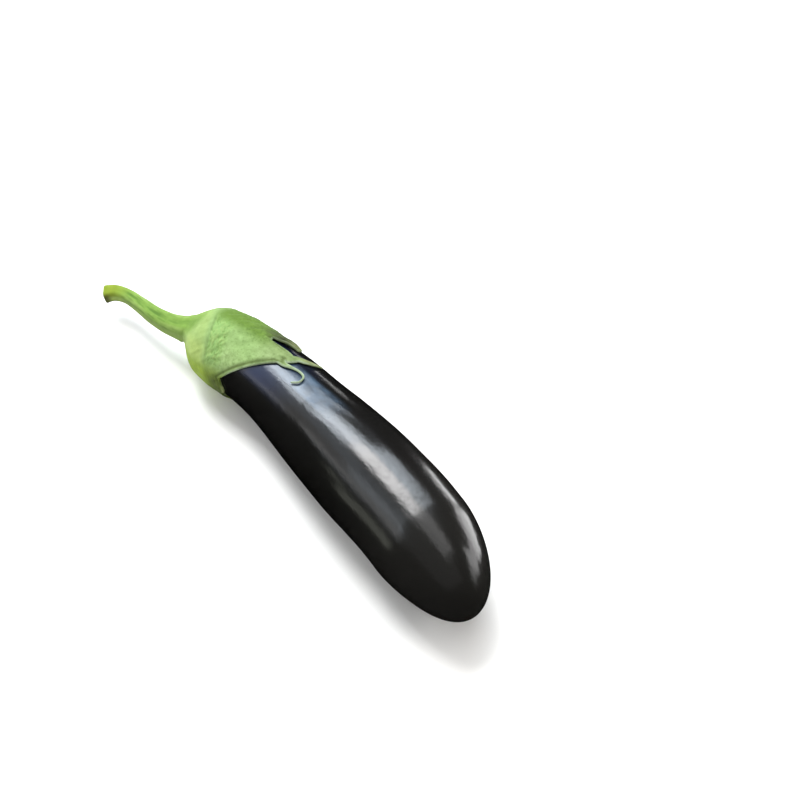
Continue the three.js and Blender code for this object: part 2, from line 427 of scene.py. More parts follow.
# %% Tongues beyond the notch line
def tongue_grid(part, start, stop):
    """Angle, station, distance in from the edge, reach, lift and browning of one tongue.
    Unrolled to x = angle * 22 mm and y = station, a place is the path plus w times the half
    width along a cross direction, with w from -1 to 1. That direction turns from the base line
    to square with the path, and the tip is rounded. The lift grows with the reach, the sides
    curl up by |w|^3, and cos(5 pi w) raises fine ridges, which stay paler than the brown."""
    unroll = np.array([DEGREE * ACROSS, 1.0])
    base = np.array([start, stop]) * unroll
    half_base = 0.5 * np.linalg.norm(base[1] - base[0])
    places = np.array(part["tongue"]) * [*unroll, 1.0]
    path = np.vstack([[*base.mean(0), half_base], places])
    u = np.arange(TONGUE_ROWS + 1) / TONGUE_ROWS
    t = 0.5 * u + 0.5 * np.sin(0.5 * np.pi * u)
    walk = smooth_path(path, t)
    line = walk[:, :2]
    half = np.maximum(walk[:, 2], 0.0003)
    ahead = smooth_path(path, np.minimum(t + 0.01, 1)) - smooth_path(path, np.maximum(t - 0.01, 0))
    along = unit(ahead[:, :2])
    square = np.stack([along[:, 1], -along[:, 0]], -1)
    turn = ease(t / 0.3)[:, None]
    cross = unit((1 - turn) * unit(base[1] - base[0]) + turn * square)
    half = half * np.sqrt(np.maximum(1 - np.maximum((t - 0.94) / 0.06, 0) ** 2, 0))
    w = np.sin(0.5 * np.pi * np.linspace(-1, 1, part["columns"] + 1))
    place = line[:, None] + (half[:, None] * w)[..., None] * cross[:, None]
    length = np.linalg.norm(np.diff(line, axis=0), axis=1).sum()
    inset = np.minimum((1 - np.abs(w)) * half[:, None], ((1 - t) * length)[:, None] + 0 * w)
    reach = t[:, None] + 0 * w
    curl = part["curl"] * ease(reach / 0.5) * ease((1 - reach) / 0.3) * np.abs(w) ** 3
    lift = part["lift"] * ease(reach / 0.7) + curl
    wave = np.cos(5 * np.pi * w)
    lift = lift + 0.3 * part["curl"] * wave * ease(reach / 0.4) * ease((1 - np.abs(w)) / 0.2)
    ridges = ease((wave + 0.2) / 0.9) * ease((reach - 0.1) / 0.4)
    brown = part["brown"] * ease(reach / 0.35) * (1 - 0.78 * ridges)
    brown = brown * (1 - 0.7 * ease((reach - 0.85) / 0.15))
    return place[..., 0] / ACROSS, place[..., 1], inset, reach, lift, brown


flat = np.zeros(cap_station.size)
sheet_parts = [[cap_angle.ravel(), cap_station.ravel(), cap_inset.ravel(), flat, flat, flat]]
sheet_quads = [ring_faces(cap_index)]
first = 0
count = cap_station.size
for part, start, stop in zip(EDGE_PARTS, starts[:-1], starts[1:]):
    base_columns = (first + np.arange(part["columns"] + 1)) % cap_index.shape[1]
    first += part["columns"]
    if not part["tongue"]:
        continue
    grids = [grid[1:] for grid in tongue_grid(part, start, stop)]
    added = count + np.arange(grids[0].size).reshape(grids[0].shape)
    count += added.size
    sheet_quads.append(sheet_faces(np.vstack([cap_index[-1, base_columns], added])))
    sheet_parts.append([grid.ravel() for grid in grids])
sheet = [np.concatenate(column) for column in zip(*sheet_parts)]
sheet_angle, sheet_station, sheet_inset, sheet_reach, sheet_lift, sheet_brown = sheet
sheet_inset = np.maximum(sheet_inset, 0.0)
sheet_quads = np.concatenate(sheet_quads)
print("sheet of", len(sheet_station), "points and", len(sheet_quads), "faces")

# %% [markdown]
# Thickness and relief of the cap
#
# Near the stem the cap is a thick, ribbed crown; further out it is a leathery layer that
# thins towards a rounded, slightly swollen edge with a shallow groove behind it. All of it is
# a height above the fruit, so it is one formula of the station, the angle and the distance in
# from the edge. The creases could be drawn by hand; here they are a few waves and one
# pressed line.

# %% Profile of the crown
CAP_TOP_RADIUS = 0.0045
CAP_RADIUS = 0.0196
CAP_SHOULDER = 0.019
FILLET = 0.0024
STEM_BASE_RADIUS = 0.0069


def crown_rise(s):
    """Radius of the bare crown: a quarter sine from its top to its shoulder."""
    rise = np.sin(0.5 * np.pi * np.clip(s / CAP_SHOULDER, -1, 1))
    return CAP_TOP_RADIUS + (CAP_RADIUS - CAP_TOP_RADIUS) * rise


def crown_radius(s):
    """The bare crown with the foot of the stem growing out of it through a rounded corner."""
    return soft_max(crown_rise(s), STEM_BASE_RADIUS, FILLET)


print("crown", round(1000 * crown_radius(CAP_SHOULDER), 1), "mm in radius at its shoulder")


# %% Pressed line across the crown
CREASE_START = 0.0178
CREASE_CLIMB = 0.0062
CREASE_FROM = -5
CREASE_SPAN = 53
PATCH_LENGTH = 0.0130


def crease(s, angle):
    """Distance along the fruit from the pressed line across the crown, positive beyond it.
    The line climbs from station 18 mm at -5 degrees to 24 mm at 48 degrees."""
    share = np.clip((angle / DEGREE - CREASE_FROM) / CREASE_SPAN, -0.6, 1.3)
    return s - CREASE_START - CREASE_CLIMB * share


def crease_range(angle):
    """How much of the pressed line shows at an angle: all of it on top, none on the flanks."""
    return between(angle / DEGREE, -30, 25, 68, 25)


def crease_patch(s, angle):
    """The wrinkled patch beyond the pressed line, 1 inside and fading over its far side."""
    beyond = crease(s, angle)
    return ease((beyond + 0.0003) / 0.0009) * ease((PATCH_LENGTH - beyond) / 0.005) * crease_range(angle)


print("pressed line from station", CREASE_START, "to", CREASE_START + CREASE_CLIMB)

# %% Wrinkles beyond the line
FOLDS = 150
draw = np.random.default_rng(7)
fold_x = draw.uniform(-20, 54, FOLDS) * DEGREE * ACROSS
fold_y = 0.0004 + 0.0115 * draw.uniform(0, 1, FOLDS) ** 1.2
fold_slope = -55.0 * fold_y + draw.normal(0, 0.5, FOLDS)
fold_length = draw.uniform(0.0008, 0.0022, FOLDS)
fold_width = draw.uniform(0.00024, 0.00036, FOLDS)
fold_sign = draw.choice([-1.0, 1.0, 1.0], FOLDS)


def wrinkles(s, angle):
    """Wrinkles of the patch: the sum of short folds. Unrolled to x = angle * 22 mm and y = the
    distance from the pressed line, a fold is one bell along its slope times a narrow bell
    across it, and folds turn away from the line the further off they are."""
    x = (angle * ACROSS)[..., None] - fold_x
    y = crease(s, angle)[..., None] - fold_y
    along = (x + fold_slope * y) / np.hypot(1, fold_slope)
    off = (y - fold_slope * x) / np.hypot(1, fold_slope)
    return (fold_sign * bell(along / fold_length) * bell(off / fold_width)).sum(-1)


print(FOLDS, "folds,", int((fold_sign > 0).sum()), "of them raised")

# %% Relief of the cap
STEM_RIBS = 5
STEM_RIB_START = 2.05
RIB_HEIGHT = 0.0004
RIB_FADE = 0.010
FOLD_HEIGHT = 0.00020

# Each wave of the felted surface: height, turns round the cap, turns per metre along, start
CAP_WAVES = [
    (0.00016, 7, 40, 0.3),
    (0.00012, 11, -70, 1.9),
    (0.00008, 17, 120, 4.0),
    (0.00005, 29, 260, 2.6),
    (0.00005, 23, -380, 5.5),
]


def cap_relief(s, angle, inset):
    """Height added to the cap: ribs that fade from the stem, slow waves, a pressed line with a
    swelling before it, wrinkles beyond it, a bead along the edge and a groove behind that."""
    ribs = RIB_HEIGHT * np.cos(STEM_RIBS * angle + STEM_RIB_START) * np.exp(-s / RIB_FADE)
    waves = sum(
        size * np.sin(turns * angle + 2 * np.pi * along * s + start)
        for size, turns, along, start in CAP_WAVES
    )
    waves = waves * ease(inset / 0.003) * ease((s - 0.004) / 0.016)
    beyond = crease(s, angle)
    pressed = 0.0004 * bell((beyond + 0.0014) / 0.0018) - 0.0006 * bell((beyond - 0.0004) / 0.0008)
    folds = FOLD_HEIGHT * crease_patch(s, angle) * wrinkles(s, angle)
    edge = 0.00022 * bell((inset - 0.0007) / 0.0005) - 0.00014 * bell((inset - 0.0023) / 0.0007)
    return ribs + waves + crease_range(angle) * pressed + folds + edge


relief = cap_relief(sheet_station, sheet_angle, sheet_inset)
print("relief from", round(1000 * relief.min(), 2), "to", round(1000 * relief.max(), 2), "mm")

# %% Outer face and lining of the cap
GAP = 0.0003
CAP_THICKNESS = 0.0011
LEAST_THICKNESS = 0.0003
SHOULDER_CORNER = 0.0006
RIM_SHARE = 0.42
RIM_ROUND = 0.0011

lining = fruit_radius(sheet_station, GAP)
full = soft_max(crown_radius(sheet_station), lining + CAP_THICKNESS, SHOULDER_CORNER)
rounding = RIM_SHARE + (1 - RIM_SHARE) * (1 - np.exp(-sheet_inset / RIM_ROUND))
height = np.maximum((full - lining) * rounding + relief, LEAST_THICKNESS)
outer_points = around(sheet_station, sheet_angle, lining + height + sheet_lift)

# The lining starts at a pole under the crown and meets the outer face at the edge
pole = SHOULDER_START - GAP
rim_of = np.concatenate([(column_rim + 0 * cap_station).ravel(), sheet_station[cap_station.size:]])
inner_station = np.where(
    sheet_reach > 0,
    sheet_station,
    pole + (sheet_station - CAP_TOP) * (rim_of - pole) / (rim_of - CAP_TOP),
)
inner_points = around(inner_station, sheet_angle, fruit_radius(inner_station, GAP) + sheet_lift)
print("cap is up to", round(1000 * height.max(), 2), "mm above the fruit")

# %% [markdown]
# The stem
#
# The stem is a ribbed stalk that narrows away from the cap, bends twice and is cut off. It
# could be a curve object with a bevel, but it has to grow out of the crown without a seam, so
# its rings use the same columns as the cap and the last ring is sewn to the first ring of
# the crown. The rounded corner between them is the same formula on both sides.

# %% Path of the stem
STEM_ROOT = 0.0015
STEM_STEPS = np.array([
    [-0.0176, -0.0147, -0.0040],
    [-0.0425, -0.0042, -0.0041],
    [-0.0515, -0.0186, -0.0090],
])
STEM_SLIM_RADIUS = 0.0032
STEM_TAPER = 1.6
STEM_END_FLARE = 0.00145
STEM_RIB_DEPTH = 0.05
STEM_TWIST = 0.8
STEM_ROWS = 72

fine = np.linspace(0, 1, 600)[:, None]
foot = centre_line(np.array(CAP_TOP + STEM_ROOT))
knots = np.vstack([foot, centre_line(np.array(0.0)) + STEM_STEPS])
curve = (
    (1 - fine) ** 3 * knots[0]
    + 3 * fine * (1 - fine) ** 2 * knots[1]
    + 3 * fine**2 * (1 - fine) * knots[2]
    + fine**3 * knots[3]
)
walked = np.concatenate([[0], np.cumsum(np.linalg.norm(np.diff(curve, axis=0), axis=1))])
stem_length = walked[-1]
stem_join = 2.2 * STEM_ROOT / stem_length


def stem_point(t):
    """Point at a share t of the length of the stem's cubic curve, by its walked distance."""
    return np.stack([np.interp(t * stem_length, walked, curve[:, k]) for k in range(3)], -1)


print("stem", round(stem_length, 4), "m long")

# %% Thickness of the stem
t = np.linspace(1, stem_join, STEM_ROWS)
step_back = stem_point(np.maximum(t - 0.004, 0)) - stem_point(np.minimum(t + 0.004, 1))
turn = ease((t - stem_join) / 0.16)[:, None]
stem_heading = unit(turn * unit(step_back) + (1 - turn) * heading_at(np.array(CAP_TOP)))
stem_side, stem_upright = across(stem_heading)
narrowing = (STEM_BASE_RADIUS - STEM_SLIM_RADIUS) * (1 - t) ** STEM_TAPER
slim = STEM_SLIM_RADIUS + narrowing + STEM_END_FLARE * t**4
behind = CAP_TOP - (t - stem_join) * stem_length
stem_radius = soft_max(crown_rise(behind), slim, FILLET * ease((behind + 0.02) / 0.02))
print("stem radius from", round(1000 * stem_radius[-1], 2), "to", round(1000 * stem_radius[0], 2), "mm")

# %% Ribs, knobs and cut of the stem
ribs = np.cos(STEM_RIBS * column_angle + STEM_RIB_START + STEM_TWIST * t[:, None])
slow_knobs = 0.02 * np.sin(9 * t[:, None] + 2 * column_angle)
quick_knobs = 0.012 * np.sin(31 * t[:, None] + 3 * column_angle + 1)
knobs = (slow_knobs + quick_knobs) * ease((t[:, None] - 0.1) / 0.2) * ease((1 - t[:, None]) / 0.1)
stem_spread = stem_radius[:, None] * (1 + STEM_RIB_DEPTH * ribs + knobs)
spoke = np.cos(column_angle)[:, None] * stem_upright[:, None]
spoke = spoke + np.sin(column_angle)[:, None] * stem_side[:, None]
stem_points = stem_point(t)[:, None] + stem_spread[..., None] * spoke

# The cut is slanted: the upper side of the stem, at CUT_ANGLE round it, ends sooner
CUT_SLANT = 0.0007
CUT_ANGLE = -73 * DEGREE
slant = CUT_SLANT * (1 + np.cos(column_angle - CUT_ANGLE))
stem_slant = slant * ease((t[:, None] - 0.85) / 0.15)
stem_points = stem_points + stem_slant[..., None] * stem_heading[:, None]

# Cut end: rings that step in over a rounded edge to the middle of the cut
CUT_SHARE = np.array([0.0, 0.35, 0.65, 0.86, 0.95, 0.985])
CUT_DEPTH = np.array([0.0004, 0.0003, 0.0001, 0.0, 0.0001, 0.0003])
cut_points = (
    stem_point(np.array(1.0))
    + (CUT_SHARE[:, None] * stem_spread[0])[..., None] * spoke[0]
    + (CUT_DEPTH[:, None] - 0.0006 + slant)[..., None] * stem_heading[0]
)
stem_points = np.vstack([cut_points, stem_points])
stem_t = np.concatenate([np.full(len(CUT_SHARE), 1.0), t])
cut_mask = np.concatenate([1 - ease((CUT_SHARE - 0.8) / 0.2), 0 * t])
print("stem rings", stem_points.shape[:2])

# %% [markdown]
# Sewing the cap and the stem together
#
# The outer sheet and its lining share one set of faces, with the lining's turned over. Every
# edge that belongs to only one face of the sheet is part of the open rim, and a wall
# face joins the two there. That is what a solidify modifier does, but here the thickness
# is free to change from place to place.

# %% Faces of the green piece
total = len(sheet_station)
sides = np.concatenate([sheet_quads[:, [k, (k + 1) % 4]] for k in range(4)])
ordered = np.sort(sides, axis=1)
keys = ordered[:, 0] * total + ordered[:, 1]
_, where, times = np.unique(keys, return_index=True, return_counts=True)
rim = sides[where[times == 1]]
rim = rim[~np.isin(rim, cap_index[0]).all(axis=1)]
walls = np.column_stack([rim[:, 1], rim[:, 0], rim[:, 0] + total, rim[:, 1] + total])
stem_index = 2 * total + np.arange(stem_points[..., 0].size).reshape(stem_points.shape[:2])
faces = np.concatenate([
    sheet_quads,
    sheet_quads[:, ::-1] + total,
    walls,
    ring_faces(np.vstack([stem_index, cap_index[0]])),
])
green_points = np.concatenate([outer_points, inner_points, stem_points.reshape(-1, 3)])
print(len(rim), "edges round the rim,", len(faces), "faces in all")

# %% [markdown]
# Colours that follow the form
#
# The crown is pale and yellowish, the far side of the top is deeper, the lobes turn greyish
# where they thin out, and the edge is a pale line. Some masks are painted light and shade:
# painted light, a paler green where shade falls, on the shoulder and on the lower side by
# the rim; painted shade in the hollows of the wrinkles and in the groove behind the edge,
# partly painted shade on the low flank, and painted light on the crests of the wrinkles.
# The stem goes from pale to yellow-green, with a painted highlight along its upper side,
# painted light on its lower side, painted shade in its grooves and a browner underside that
# is partly painted shade. Each of these is a mask worked out from the same station, angle
# and edge distance as the shape. The masks are laid over one another like thin coats of
# paint, and blend a few named colours into one for each point.

# %% Blending named colours
LIT_SHARE = np.array([0.50, 0.48, 0.42])


def colour(red, green, blue):
    """Screen values from 0 to 255, as seen in good light, turned into the share of light that
    the surface gives back: ((v + 0.055) / 1.055)^2.4 of v / 255, times the lit share."""
    v = np.array([red, green, blue]) / 255
    return LIT_SHARE * ((v + 0.055) / 1.055) ** 2.4


def layered(base, layers):
    """Base colours moved towards one colour after another, each by its own mask held between
    0 and 1: colour * (1 - mask) + other * mask."""
    for mask, other in layers:
        share = np.clip(mask, 0, 1)[..., None]
        base = base * (1 - share) + other * share
    return base


# %% Greens and browns
CROWN_GREEN = colour(183, 217, 137)
PALE_GREEN = colour(172, 211, 139)
# Painted light: a paler green for the lower side near the rim, making up for the shade there.
RIM_PAINTED_LIGHT = colour(188, 224, 156)
PATCH_GREEN = colour(168, 214, 134)
DEEP_GREEN = colour(110, 150, 46)
FLANK_GREEN = colour(190, 226, 76)
# Painted light: a paler green for the shoulder of the crown, which tilts away from the lights.
SHOULDER_PAINTED_LIGHT = colour(214, 246, 150)
# Partly painted shade: dark olive for the low flank, partly its own olive.
FLANK_OLIVE_AND_SHADE = colour(100, 120, 38)
GREY_GREEN = colour(172, 198, 144)
TIP_GREY = colour(182, 194, 142)
TIP_BROWN = colour(58, 60, 30)
EDGE_PALE = colour(196, 220, 198)
# Painted shade: the dark line in the groove behind the rolled edge.
EDGE_GROOVE_SHADE = colour(92, 112, 48)
STEM_GREEN = colour(148, 192, 90)
# Pale green of the ribs, also the painted highlight on the upper side and painted light on the lower side.
STEM_PALE_AND_PAINTED_LIGHT = colour(190, 222, 136)
# Dark green of the mottles, also painted shade in the grooves between the ribs.
STEM_MOTTLE_AND_GROOVE_SHADE = colour(84, 132, 44)
STEM_YELLOW = colour(166, 190, 58)
# Brown of the end patch, also partly painted shade on the underside.
STEM_BROWN_AND_SHADE = colour(84, 74, 40)
CUT_TAN = colour(140, 144, 70)

print("crown green gives back", CROWN_GREEN.round(3), "of the light")


# %% Colour of the stem
def stem_tint(t, angle, rib, cut):
    """Colour of the stem from its share t of the length, the angle round it, the rib wave and
    the cut. Over plain green lie, in this order: pale ribs, dark mottles, broken grooves darkened
    as painted shade, yellow towards the end, a painted highlight along the upper side, painted
    light on the shaded lower side, a browner underside that is partly painted shade, a brown
    patch by the end and the tan cut."""
    degrees = in_degrees(angle)
    broken = (0.55 + 0.45 * np.sin(19 * t + 1.2)) * (0.35 + 0.65 * ease(t / 0.2))
    mottle = np.sin(11 * angle + 6 * t + 0.4) * np.sin(23 * t + 2 * angle + 0.6)
    green = np.broadcast_to(STEM_GREEN, np.broadcast(t, angle).shape + (3,))
    return layered(green, [
        (0.45 * ease((rib - 0.1) / 0.8) * (0.6 + 0.4 * np.sin(13 * t)), STEM_PALE_AND_PAINTED_LIGHT),
        (0.32 * ease((mottle - 0.2) / 0.6) * (0.3 + 0.7 * ease(t / 0.15)), STEM_MOTTLE_AND_GROOVE_SHADE),
        # painted shade in the grooves between the ribs
        (0.7 * broken * ease((-rib - 0.35) / 0.6), STEM_MOTTLE_AND_GROOVE_SHADE),
        (0.9 * ease((t - 0.68) / 0.25), STEM_YELLOW),
        # painted highlight along the upper side of the stem
        (0.75 * between(degrees, -130, 25, -30, 25), STEM_PALE_AND_PAINTED_LIGHT),
        # painted light on the shaded lower side of the stem
        (0.55 * between(degrees, 55, 25, 140, 20), STEM_PALE_AND_PAINTED_LIGHT),
        # partly painted shade: the underside browner and darker, partly its own brown
        (0.85 * ease((-np.cos(angle) - 0.05) / 0.6) * ease((t - 0.1) / 0.6), STEM_BROWN_AND_SHADE),
        (0.8 * ease((t - 0.9) / 0.09) * ease((np.sin(angle) - 0.5) / 0.45), STEM_BROWN_AND_SHADE),
        (cut, CUT_TAN),
    ])


stem_rib = np.vstack([np.repeat(ribs[:1], len(CUT_SHARE), axis=0), ribs])
stalk_tint = stem_tint(stem_t[:, None], column_angle, stem_rib, cut_mask[:, None]).reshape(-1, 3)
print("stem colour, on average", stalk_tint.mean(0).round(3))


# %% Colour of the cap
def cap_tint(s, angle, inset, reach, brown):
    """Colour of the cap: pale green with one mask after another laid over it, which are the
    crown, painted light on the lower side by the rim, the wrinkled patch with painted light on
    the crests of its folds and painted shade in their hollows, the deep far side, the flank,
    the low flank's olive, which is partly painted shade, painted light on the shoulder, the thin
    and dry lobes, painted shade in the groove behind the edge, the pale edge, the foot of the
    stem and the browning."""
    degrees = in_degrees(angle)
    near = ease((180 - degrees) / 40)
    far = ease((180 + degrees) / 40)
    patch = crease_patch(s, angle)
    folds = wrinkles(s, angle)
    crown = ease(-crease(s, angle) / 0.005) * ease((degrees + 40) / 30)
    far_side = ease((s - 0.012) / 0.008) * ease((4 - degrees) / 26) * far
    low_flank_and_shade = ease((degrees - 56) / 24) * ease((s - 0.022) / 0.012)
    shoulder = between(degrees, 30, 20, 75, 15) * between(s, 0.004, 0.006, 0.026, 0.008)
    dry_side = ease((-24 - degrees) / 14)
    streaky = 0.68 + 0.2 * np.sin(70 * angle)
    pale_side = ease((64 - degrees) / 14) * (1 - 0.7 * dry_side)
    foot_line = 0.0078 + 0.0065 * ease((75 - degrees) / 90) * far
    stalk = stem_tint(0 * s, angle, np.cos(STEM_RIBS * angle + STEM_RIB_START), 0 * s)
    green = np.broadcast_to(PALE_GREEN, s.shape + (3,))
    return layered(green, [
        (crown, CROWN_GREEN),
        # painted light: paler green on the shaded lower side near the rim
        (ease((s - 0.026) / 0.006) * ease((degrees - 12) / 22), RIM_PAINTED_LIGHT),
        (patch, PATCH_GREEN),
        # painted light and shade: lighter on the crests of the folds and darker in their hollows
        (0.65 * patch * ease(folds / 0.7), CROWN_GREEN),
        (0.42 * patch * ease(-folds / 0.7), DEEP_GREEN),
        (0.9 * far_side, DEEP_GREEN),
        (0.9 * ease((degrees - 50) / 30) * near, FLANK_GREEN),
        # partly painted shade: darker olive on the low flank, partly its own olive
        (0.9 * low_flank_and_shade, FLANK_OLIVE_AND_SHADE),
        # painted light: paler green on the shoulder, which tilts away from the lights
        (0.8 * shoulder, SHOULDER_PAINTED_LIGHT),
        (0.7 * ease((s - 0.040) / 0.016) * ease((30 - degrees) / 30), GREY_GREEN),
        (dry_side * ease((s - 0.036) / 0.009) * streaky, TIP_BROWN),
        (0.8 * ease((reach - 0.3) / 0.5), TIP_GREY),
        # painted shade in the groove behind the edge
        (0.80 * bell((inset - 0.0024) / 0.0012) * (1 - ease(reach / 0.2)), EDGE_GROOVE_SHADE),
        (0.85 * pale_side * ease((0.0011 - inset) / 0.0007), EDGE_PALE),
        (ease((foot_line - s) / 0.0065), stalk),
        (brown, TIP_BROWN),
    ])


outer_tint = cap_tint(sheet_station, sheet_angle, sheet_inset, sheet_reach, sheet_brown)
inner_tint = np.broadcast_to(GREY_GREEN, outer_tint.shape)
speckle = ease((sheet_station - 0.018) / 0.02)
zeros = np.zeros(len(stalk_tint))
green = make_piece(
    "green_cap_and_stem",
    green_points,
    faces,
    {
        "tint": np.concatenate([outer_tint, inner_tint, stalk_tint]),
        "speckle": np.concatenate([speckle, speckle, zeros]),
    },
)

# %% [markdown]
# Giving the pieces their places
#
# Both pieces are made where they belong, so nothing has to be moved. Each one stands for
# a solid of the frame.

# %% Pieces in the frame
for piece, node, slot in [(fruit, "fruit", "fruit_skin"), (green, "calyx_and_stem", "green_felt")]:
    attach(piece, "root")
    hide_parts(node)
    spots = np.empty(3 * len(piece.data.vertices), np.float32)
    piece.data.vertices.foreach_get("co", spots)
    spots = spots.reshape(-1, 3)
    print(piece.name, "box", spots.min(0).round(4), spots.max(0).round(4))


# %% [markdown]
# Materials from nodes
#
# A material is a small network: values come out of noises and of the marks stored in the mesh,
# are mixed, and end in the inputs of one shader. Wiring each node by hand takes many lines,
# so each kind of node gets a method that makes it, wires it and gives back its output.

# %% A helper for materials
class Finish:
    """A material and the inputs of its shader, with a method for each kind of node."""

    def __init__(self, name):
        self.material = bpy.data.materials.new(name)
        self.material.use_nodes = True
        self.nodes = self.material.node_tree.nodes
        self.link = self.material.node_tree.links.new
        self.inputs = self.nodes["Principled BSDF"].inputs

    def add(self, kind, sources, **settings):
        """A node with its settings, its inputs set to numbers or linked to outputs."""
        node = self.nodes.new(kind)
        for key, value in settings.items():
            setattr(node, key, value)
        for key, source in sources.items():
            if isinstance(source, bpy.types.NodeSocket):
                self.link(source, node.inputs[key])
            else:
                node.inputs[key].default_value = source
        return node

    def mark(self, name):
        """The number stored for each point under a name."""
        return self.add("ShaderNodeAttribute", {}, attribute_name=name).outputs["Fac"]

    def noise(self, scale, detail, stretch=(1.0, 1.0, 1.0)):
        """Noise over the object's own coordinates times a stretch."""
        place = self.add("ShaderNodeTexCoord", {}).outputs["Object"]
        place = self.add("ShaderNodeMapping", {"Vector": place, "Scale": stretch}).outputs["Vector"]
        sources = {"Vector": place, "Scale": scale, "Detail": detail}
        return self.add("ShaderNodeTexNoise", sources).outputs["Fac"]

    def ramp(self, value, stops):
        """Colours at two places from 0 to 1, read by a value."""
        node = self.add("ShaderNodeValToRGB", {"Fac": value})
        for element, (place, shade) in zip(node.color_ramp.elements, stops):
            element.position = place
            element.color = (*shade, 1.0)
        return node.outputs["Color"]

    def mix(self, factor, below, above, blend="MIX"):
        """The colour below blended by a factor with the one above."""
        sources = {"Factor": factor, "A": below, "B": above}
        return self.add("ShaderNodeMix", sources, data_type="RGBA", blend_type=blend).outputs["Result"]

    def carry(self, value, source, target):
        """A value carried from one range to another in proportion, and held at the ends."""
        sources = {"Value": value, "From Min": source[0], "From Max": source[1]}
        sources.update({"To Min": target[0], "To Max": target[1]})
        return self.add("ShaderNodeMapRange", sources).outputs["Result"]

    def product(self, one, other, plus=0.0):
        """One value times another, plus a third."""
        sources = {0: one, 1: other, 2: plus}
        return self.add("ShaderNodeMath", sources, operation="MULTIPLY_ADD").outputs["Value"]

    def bump(self, height, strength, distance):
        """A bump made from a height."""
        sources = {"Height": height, "Strength": strength, "Distance": distance}
        return self.add("ShaderNodeBump", sources)


# %% [markdown]
# The finish of the skin
#
# Eggplant skin is nearly black under a clear, waxy surface, so almost everything that shows
# on it is reflection. The base colour is a dark brown that varies a little. The bluish bloom
# by the cap and the pale wax on the neck scatter some light of their own; both are partly
# painted reflection, lying on the upper side where the bluish panels are mirrored. The wax is
# rubbed thinner in spots and dulls the highlight. Fine streaks along the fruit change the
# roughness and tilt the surface, and finer pores feather the edge of the highlight.

# %% Skin: dark base
DARK_SHADES = [(0.3, (0.0044, 0.0043, 0.0038)), (0.7, (0.0062, 0.0058, 0.0054))]
END_SHADE = (0.0112, 0.0106, 0.0094, 1.0)

skin = Finish("eggplant skin")
streaks = skin.noise(70.0, 4.0, (0.35, 1.0, 1.0))
clouds = skin.noise(22.0, 3.0)
skin_colour = skin.ramp(clouds, DARK_SHADES)
skin_colour = skin.mix(skin.mark("end"), skin_colour, END_SHADE)
print("dark base of", len(skin.nodes), "nodes")

# %% Skin: bloom, wax and scar, with painted reflection in the bloom and the wax
BLOOM_AND_REFLECTION_SHADE = (0.010, 0.021, 0.068, 1.0)
WAX_AND_REFLECTION_SHADE = (0.046, 0.074, 0.110, 1.0)
SCAR_SHADE = (0.012, 0.0095, 0.007, 1.0)

bloom_and_reflection_amount = skin.product(skin.mark("bloom_and_reflection"), clouds)
rubs = skin.noise(240.0, 3.0, (0.6, 1.0, 1.0))
wax_and_reflection_amount = skin.product(skin.mark("wax_and_reflection"), skin.carry(rubs, (0.35, 0.65), (0.45, 1.0)))
# partly painted reflection: bluish colour by the cap, partly bloom
skin_colour = skin.mix(bloom_and_reflection_amount, skin_colour, BLOOM_AND_REFLECTION_SHADE)
# partly painted reflection: pale bluish colour beside the neck highlight, partly wax
skin_colour = skin.mix(wax_and_reflection_amount, skin_colour, WAX_AND_REFLECTION_SHADE)
skin_colour = skin.mix(skin.mark("scar"), skin_colour, SCAR_SHADE)
skin.link(skin_colour, skin.inputs["Base Color"])
print("with bloom, wax and scar", len(skin.nodes), "nodes")

# %% Skin: gloss and grain
GLOSS_RANGE = (0.15, 0.22)
WAX_DULLING = 0.06
END_DULLING = 0.05
SKIN_IOR = 1.46

gloss = skin.carry(streaks, (0.3, 0.7), GLOSS_RANGE)
gloss = skin.product(wax_and_reflection_amount, WAX_DULLING, gloss)
gloss = skin.product(skin.mark("dull"), END_DULLING, gloss)
skin.link(gloss, skin.inputs["Roughness"])
skin.inputs["IOR"].default_value = SKIN_IOR
grain = skin.bump(streaks, 0.12, 0.0006)
pores = skin.bump(skin.noise(480.0, 3.0, (0.45, 1.0, 1.0)), 0.45, 0.0002)
skin.link(grain.outputs["Normal"], pores.inputs["Normal"])
skin.link(pores.outputs["Normal"], skin.inputs["Normal"])
fruit.data.materials.append(skin.material)
print("skin finished with", len(skin.nodes), "nodes")

# %% [markdown]
# The finish of the cap and stem
#
# Cap and stem are matte and slightly felted. The colour comes from the points; on top of it a
# coarse noise makes it blotchy and a fine one speckles it, and a bump roughens it like felt.
# A little sheen gives the pale outline that tiny hairs make.

# %% Green: blotches and speckles
BLOTCH_SHADES = [(0.28, (0.74, 0.76, 0.66)), (0.72, (1.14, 1.12, 1.12))]
DOT_SHADES = [(0.52, (0.0, 0.0, 0.0)), (0.66, (1.0, 1.0, 1.0))]
SPECK_SHADE = (0.79, 0.81, 0.75, 1.0)

felt = Finish("green felt")
felt_colour = felt.add("ShaderNodeAttribute", {}, attribute_name="tint").outputs["Color"]
speckled = felt.mark("speckle")
blotches = felt.ramp(felt.noise(330.0, 5.0), BLOTCH_SHADES)
blotch_amount = felt.carry(speckled, (0.0, 1.0), (0.55, 1.0))
felt_colour = felt.mix(blotch_amount, felt_colour, blotches, "MULTIPLY")
dots = felt.ramp(felt.noise(800.0, 2.0), DOT_SHADES)
felt_colour = felt.mix(felt.product(speckled, dots), felt_colour, SPECK_SHADE, "MULTIPLY")
felt.link(felt_colour, felt.inputs["Base Color"])
print("green of", len(felt.nodes), "nodes")

